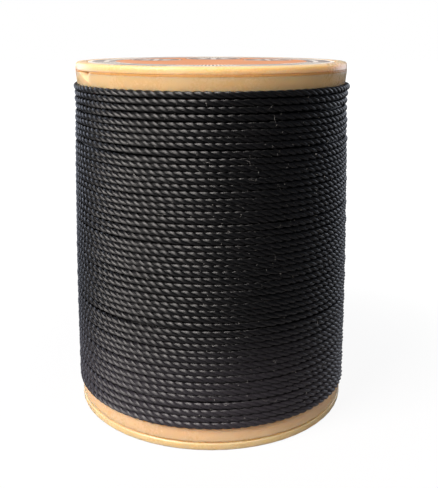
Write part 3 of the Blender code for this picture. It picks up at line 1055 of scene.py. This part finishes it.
# Name, azimuth and elevation in degrees, side in metres, watts, colour, seen in reflections
LAMPS = (
    ("key", -49, 37, 0.32, 6.1, (1.0, 0.94, 0.90), True),
    ("left_rim", -135, 8, 0.32, 0.8, (0.78, 0.84, 1.0), True),
    ("right_rim", 135, 8, 0.32, 0.65, (0.84, 0.89, 1.0), True),
    ("fill", 35, 42, 0.50, 1.5, (1.0, 0.89, 0.76), False),
)


def add_camera():
    data = bpy.data.cameras.new("camera")
    data.sensor_fit = "VERTICAL"
    data.sensor_height = SENSOR_HEIGHT_MM
    data.sensor_width = SENSOR_HEIGHT_MM * PHOTO_WIDTH / PHOTO_HEIGHT
    data.lens = FOCAL_PIXELS / PHOTO_HEIGHT * SENSOR_HEIGHT_MM
    data.shift_x = (PHOTO_WIDTH / 2 - AXIS_PIXEL[0]) / PHOTO_HEIGHT
    data.shift_y = (AXIS_PIXEL[1] - PHOTO_HEIGHT / 2) / PHOTO_HEIGHT
    data.clip_start = 1 * MM
    camera = new_object("camera", data)
    camera.location = CAMERA_PLACE
    camera.rotation_euler = (math.pi / 2 - CAMERA_PITCH, 0.0, 0.0)
    bpy.context.scene.camera = camera


def add_lamp(name, azimuth, elevation, size, power, colour, reflected):
    """A soft square lamp that looks at the middle of the spool."""
    data = bpy.data.lights.new(name, "AREA")
    data.shape = "SQUARE"
    data.size = size
    data.energy = power
    data.color = colour
    lamp = new_object(name, data)
    lamp.visible_glossy = reflected
    across = math.cos(elevation)
    away = Vector((math.sin(azimuth) * across, -math.cos(azimuth) * across, math.sin(elevation)))
    lamp.location = Vector((0, 0, SPOOL_HEIGHT / 2)) + away * LAMP_DISTANCE
    lamp.rotation_euler = away.to_track_quat("Z", "Y").to_euler()


def add_world():
    """White to the camera; for the object's light dim in front, paler overhead and behind."""
    world = bpy.data.worlds.new("studio")
    bpy.context.scene.world = world
    world.use_nodes = True
    tree = world.node_tree
    tree.nodes.clear()
    nodes = NodeBuilder(tree)
    parts = nodes.split(nodes.add("ShaderNodeTexCoord").outputs["Generated"])
    behind = nodes.fit(parts["Y"], 0.0, 0.6)
    above = nodes.fit(parts["Z"], 0.2, 0.9)
    room = nodes.mix(above, rgba(ROOM_FRONT), rgba(ROOM_ABOVE))
    room = nodes.mix(behind, room, rgba(ROOM_BEHIND))
    path = nodes.add("ShaderNodeLightPath").outputs
    shown = nodes.maths("ADD", path["Is Camera Ray"], path["Is Transmission Ray"], clamp=True)
    colour = nodes.mix(shown, room, rgba(WHITE))
    background = nodes.add("ShaderNodeBackground", {"Color": colour, "Strength": 1.0})
    output = nodes.add("ShaderNodeOutputWorld")
    nodes.feed(output.inputs["Surface"], background.outputs[0])


def floor_material(colours):
    """Pale matt floor that looks near white to the camera and still shows the shadow."""
    material, nodes, shader = new_material("pale_floor")
    place = nodes.place()
    mottle = nodes.group("Mottle", vector=place, patches=8.0, grain=400.0)
    away = nodes.add("ShaderNodeVectorMath", {0: place}, operation="LENGTH").outputs["Value"]
    dim = tuple(channel * FLOOR_DIM for channel in colours.floor)
    darker = tuple(channel * FLOOR_MOTTLE for channel in colours.floor)
    tone = nodes.mix(mottle.outputs["Tone"], rgba(darker), rgba(colours.floor))
    far = nodes.fit(away, *FLOOR_DIM_RADII)
    nodes.feed(shader["Base Color"], nodes.mix(far, tone, rgba(dim)))
    shader["Roughness"].default_value = FLOOR_ROUGHNESS
    glow = nodes.add("ShaderNodeEmission", {"Color": rgba(WHITE), "Strength": FLOOR_GLOW})
    path = nodes.add("ShaderNodeLightPath").outputs
    glowing = nodes.fit(away, *FLOOR_GLOW_RADII, FLOOR_GLOW_SHARE, 1.0)
    share = nodes.maths("MULTIPLY", path["Is Camera Ray"], glowing)
    principled = nodes.tree.nodes["Principled BSDF"].outputs[0]
    blend = nodes.add("ShaderNodeMixShader", {0: share, 1: principled, 2: glow.outputs[0]})
    output = nodes.tree.nodes["Material Output"]
    nodes.feed(output.inputs["Surface"], blend.outputs[0])
    return material


def add_floor(colours):
    shape = bmesh.new()
    bmesh.ops.create_grid(shape, x_segments=8, y_segments=8, size=FLOOR_SIZE / 2)
    mesh = finished_mesh(shape, "floor")
    mesh.materials.append(floor_material(colours))
    floor = new_object("floor", mesh)
    floor.location.z = -FLOOR_GAP


# ---------------------------------------------------------------------------------------------
# Operators, panel and registration


class SPOOL_OT_set_stage(bpy.types.Operator):
    """Adds the camera, floor, lamps and world"""

    bl_idname = "spool.set_stage"
    bl_label = "Set Stage"

    def execute(self, context):
        add_camera()
        add_floor(context.scene.spool_colours)
        add_world()
        for name, azimuth, elevation, *settings in LAMPS:
            add_lamp(name, math.radians(azimuth), math.radians(elevation), *settings)
        context.scene.view_settings.view_transform = "Standard"
        return {"FINISHED"}


class SPOOL_OT_dress_plastic(bpy.types.Operator):
    """Gives the barrel, flanges and caps their moulded plastic"""

    bl_idname = "spool.dress_plastic"
    bl_label = "Dress Plastic"

    def execute(self, context):
        colours = context.scene.spool_colours
        material = plastic_material("cream_plastic", colours.plastic, colours, 1.0)
        # The lower flange takes a darker colour as painted shade
        painted_shade_flange = plastic_material("lower_flange_painted_shade", colours.painted_shade_flange, colours, 1.0)
        for node in PLASTIC_NODES:
            dress_node(node, painted_shade_flange if node == "lower_flange" else material)
        # The seam lips take the seam's painted shade colour
        build_pinch_lips(plastic_material("seam_painted_shade", colours.seam, colours, 0.0))
        return {"FINISHED"}


class SPOOL_OT_print_label(bpy.types.Operator):
    """Lays the printed label in the upper cap"""

    bl_idname = "spool.print_label"
    bl_label = "Print Label"

    def execute(self, context):
        build_label(label_material(context.scene.spool_colours))
        return {"FINISHED"}


class SPOOL_OT_wind_thread(bpy.types.Operator):
    """Winds the outer layer of thread over the layer below it"""

    bl_idname = "spool.wind_thread"
    bl_label = "Wind Thread"

    def execute(self, context):
        material = thread_material(context.scene.spool_colours)
        build_inner_layers(context.scene.spool_sizes, material)
        build_outer_layer(context.scene.spool_sizes, material)
        return {"FINISHED"}


class SPOOL_OT_scatter_dust(bpy.types.Operator):
    """Scatters crumbs and lint on the winding"""

    bl_idname = "spool.scatter_dust"
    bl_label = "Scatter Dust"

    def execute(self, context):
        build_dust(context.scene.spool_sizes, lint_material(context.scene.spool_colours))
        return {"FINISHED"}


OPERATORS = (
    SPOOL_OT_set_stage,
    SPOOL_OT_dress_plastic,
    SPOOL_OT_print_label,
    SPOOL_OT_wind_thread,
    SPOOL_OT_scatter_dust,
)


class SPOOL_PT_sidebar(bpy.types.Panel):
    """Lists the spool's settings and steps"""

    bl_label = "Thread Spool"
    bl_idname = "SPOOL_PT_sidebar"
    bl_space_type = "VIEW_3D"
    bl_region_type = "UI"
    bl_category = "Thread Spool"

    def draw(self, context):
        for settings in (context.scene.spool_sizes, context.scene.spool_colours):
            box = self.layout.box()
            for name in settings.__annotations__:
                box.prop(settings, name)
        for operator in OPERATORS:
            self.layout.operator(operator.bl_idname)


CLASSES = (SpoolSizes, SpoolColours, *OPERATORS, SPOOL_PT_sidebar)


def register():
    for cls in CLASSES:
        bpy.utils.register_class(cls)
    bpy.types.Scene.spool_sizes = PointerProperty(type=SpoolSizes)
    bpy.types.Scene.spool_colours = PointerProperty(type=SpoolColours)


def unregister():
    del bpy.types.Scene.spool_colours
    del bpy.types.Scene.spool_sizes
    for cls in reversed(CLASSES):
        bpy.utils.unregister_class(cls)


def main():
    register()
    bpy.ops.spool.set_stage()
    bpy.ops.spool.dress_plastic()
    bpy.ops.spool.print_label()
    bpy.ops.spool.wind_thread()
    bpy.ops.spool.scatter_dust()


if __name__ == "__main__":
    main()
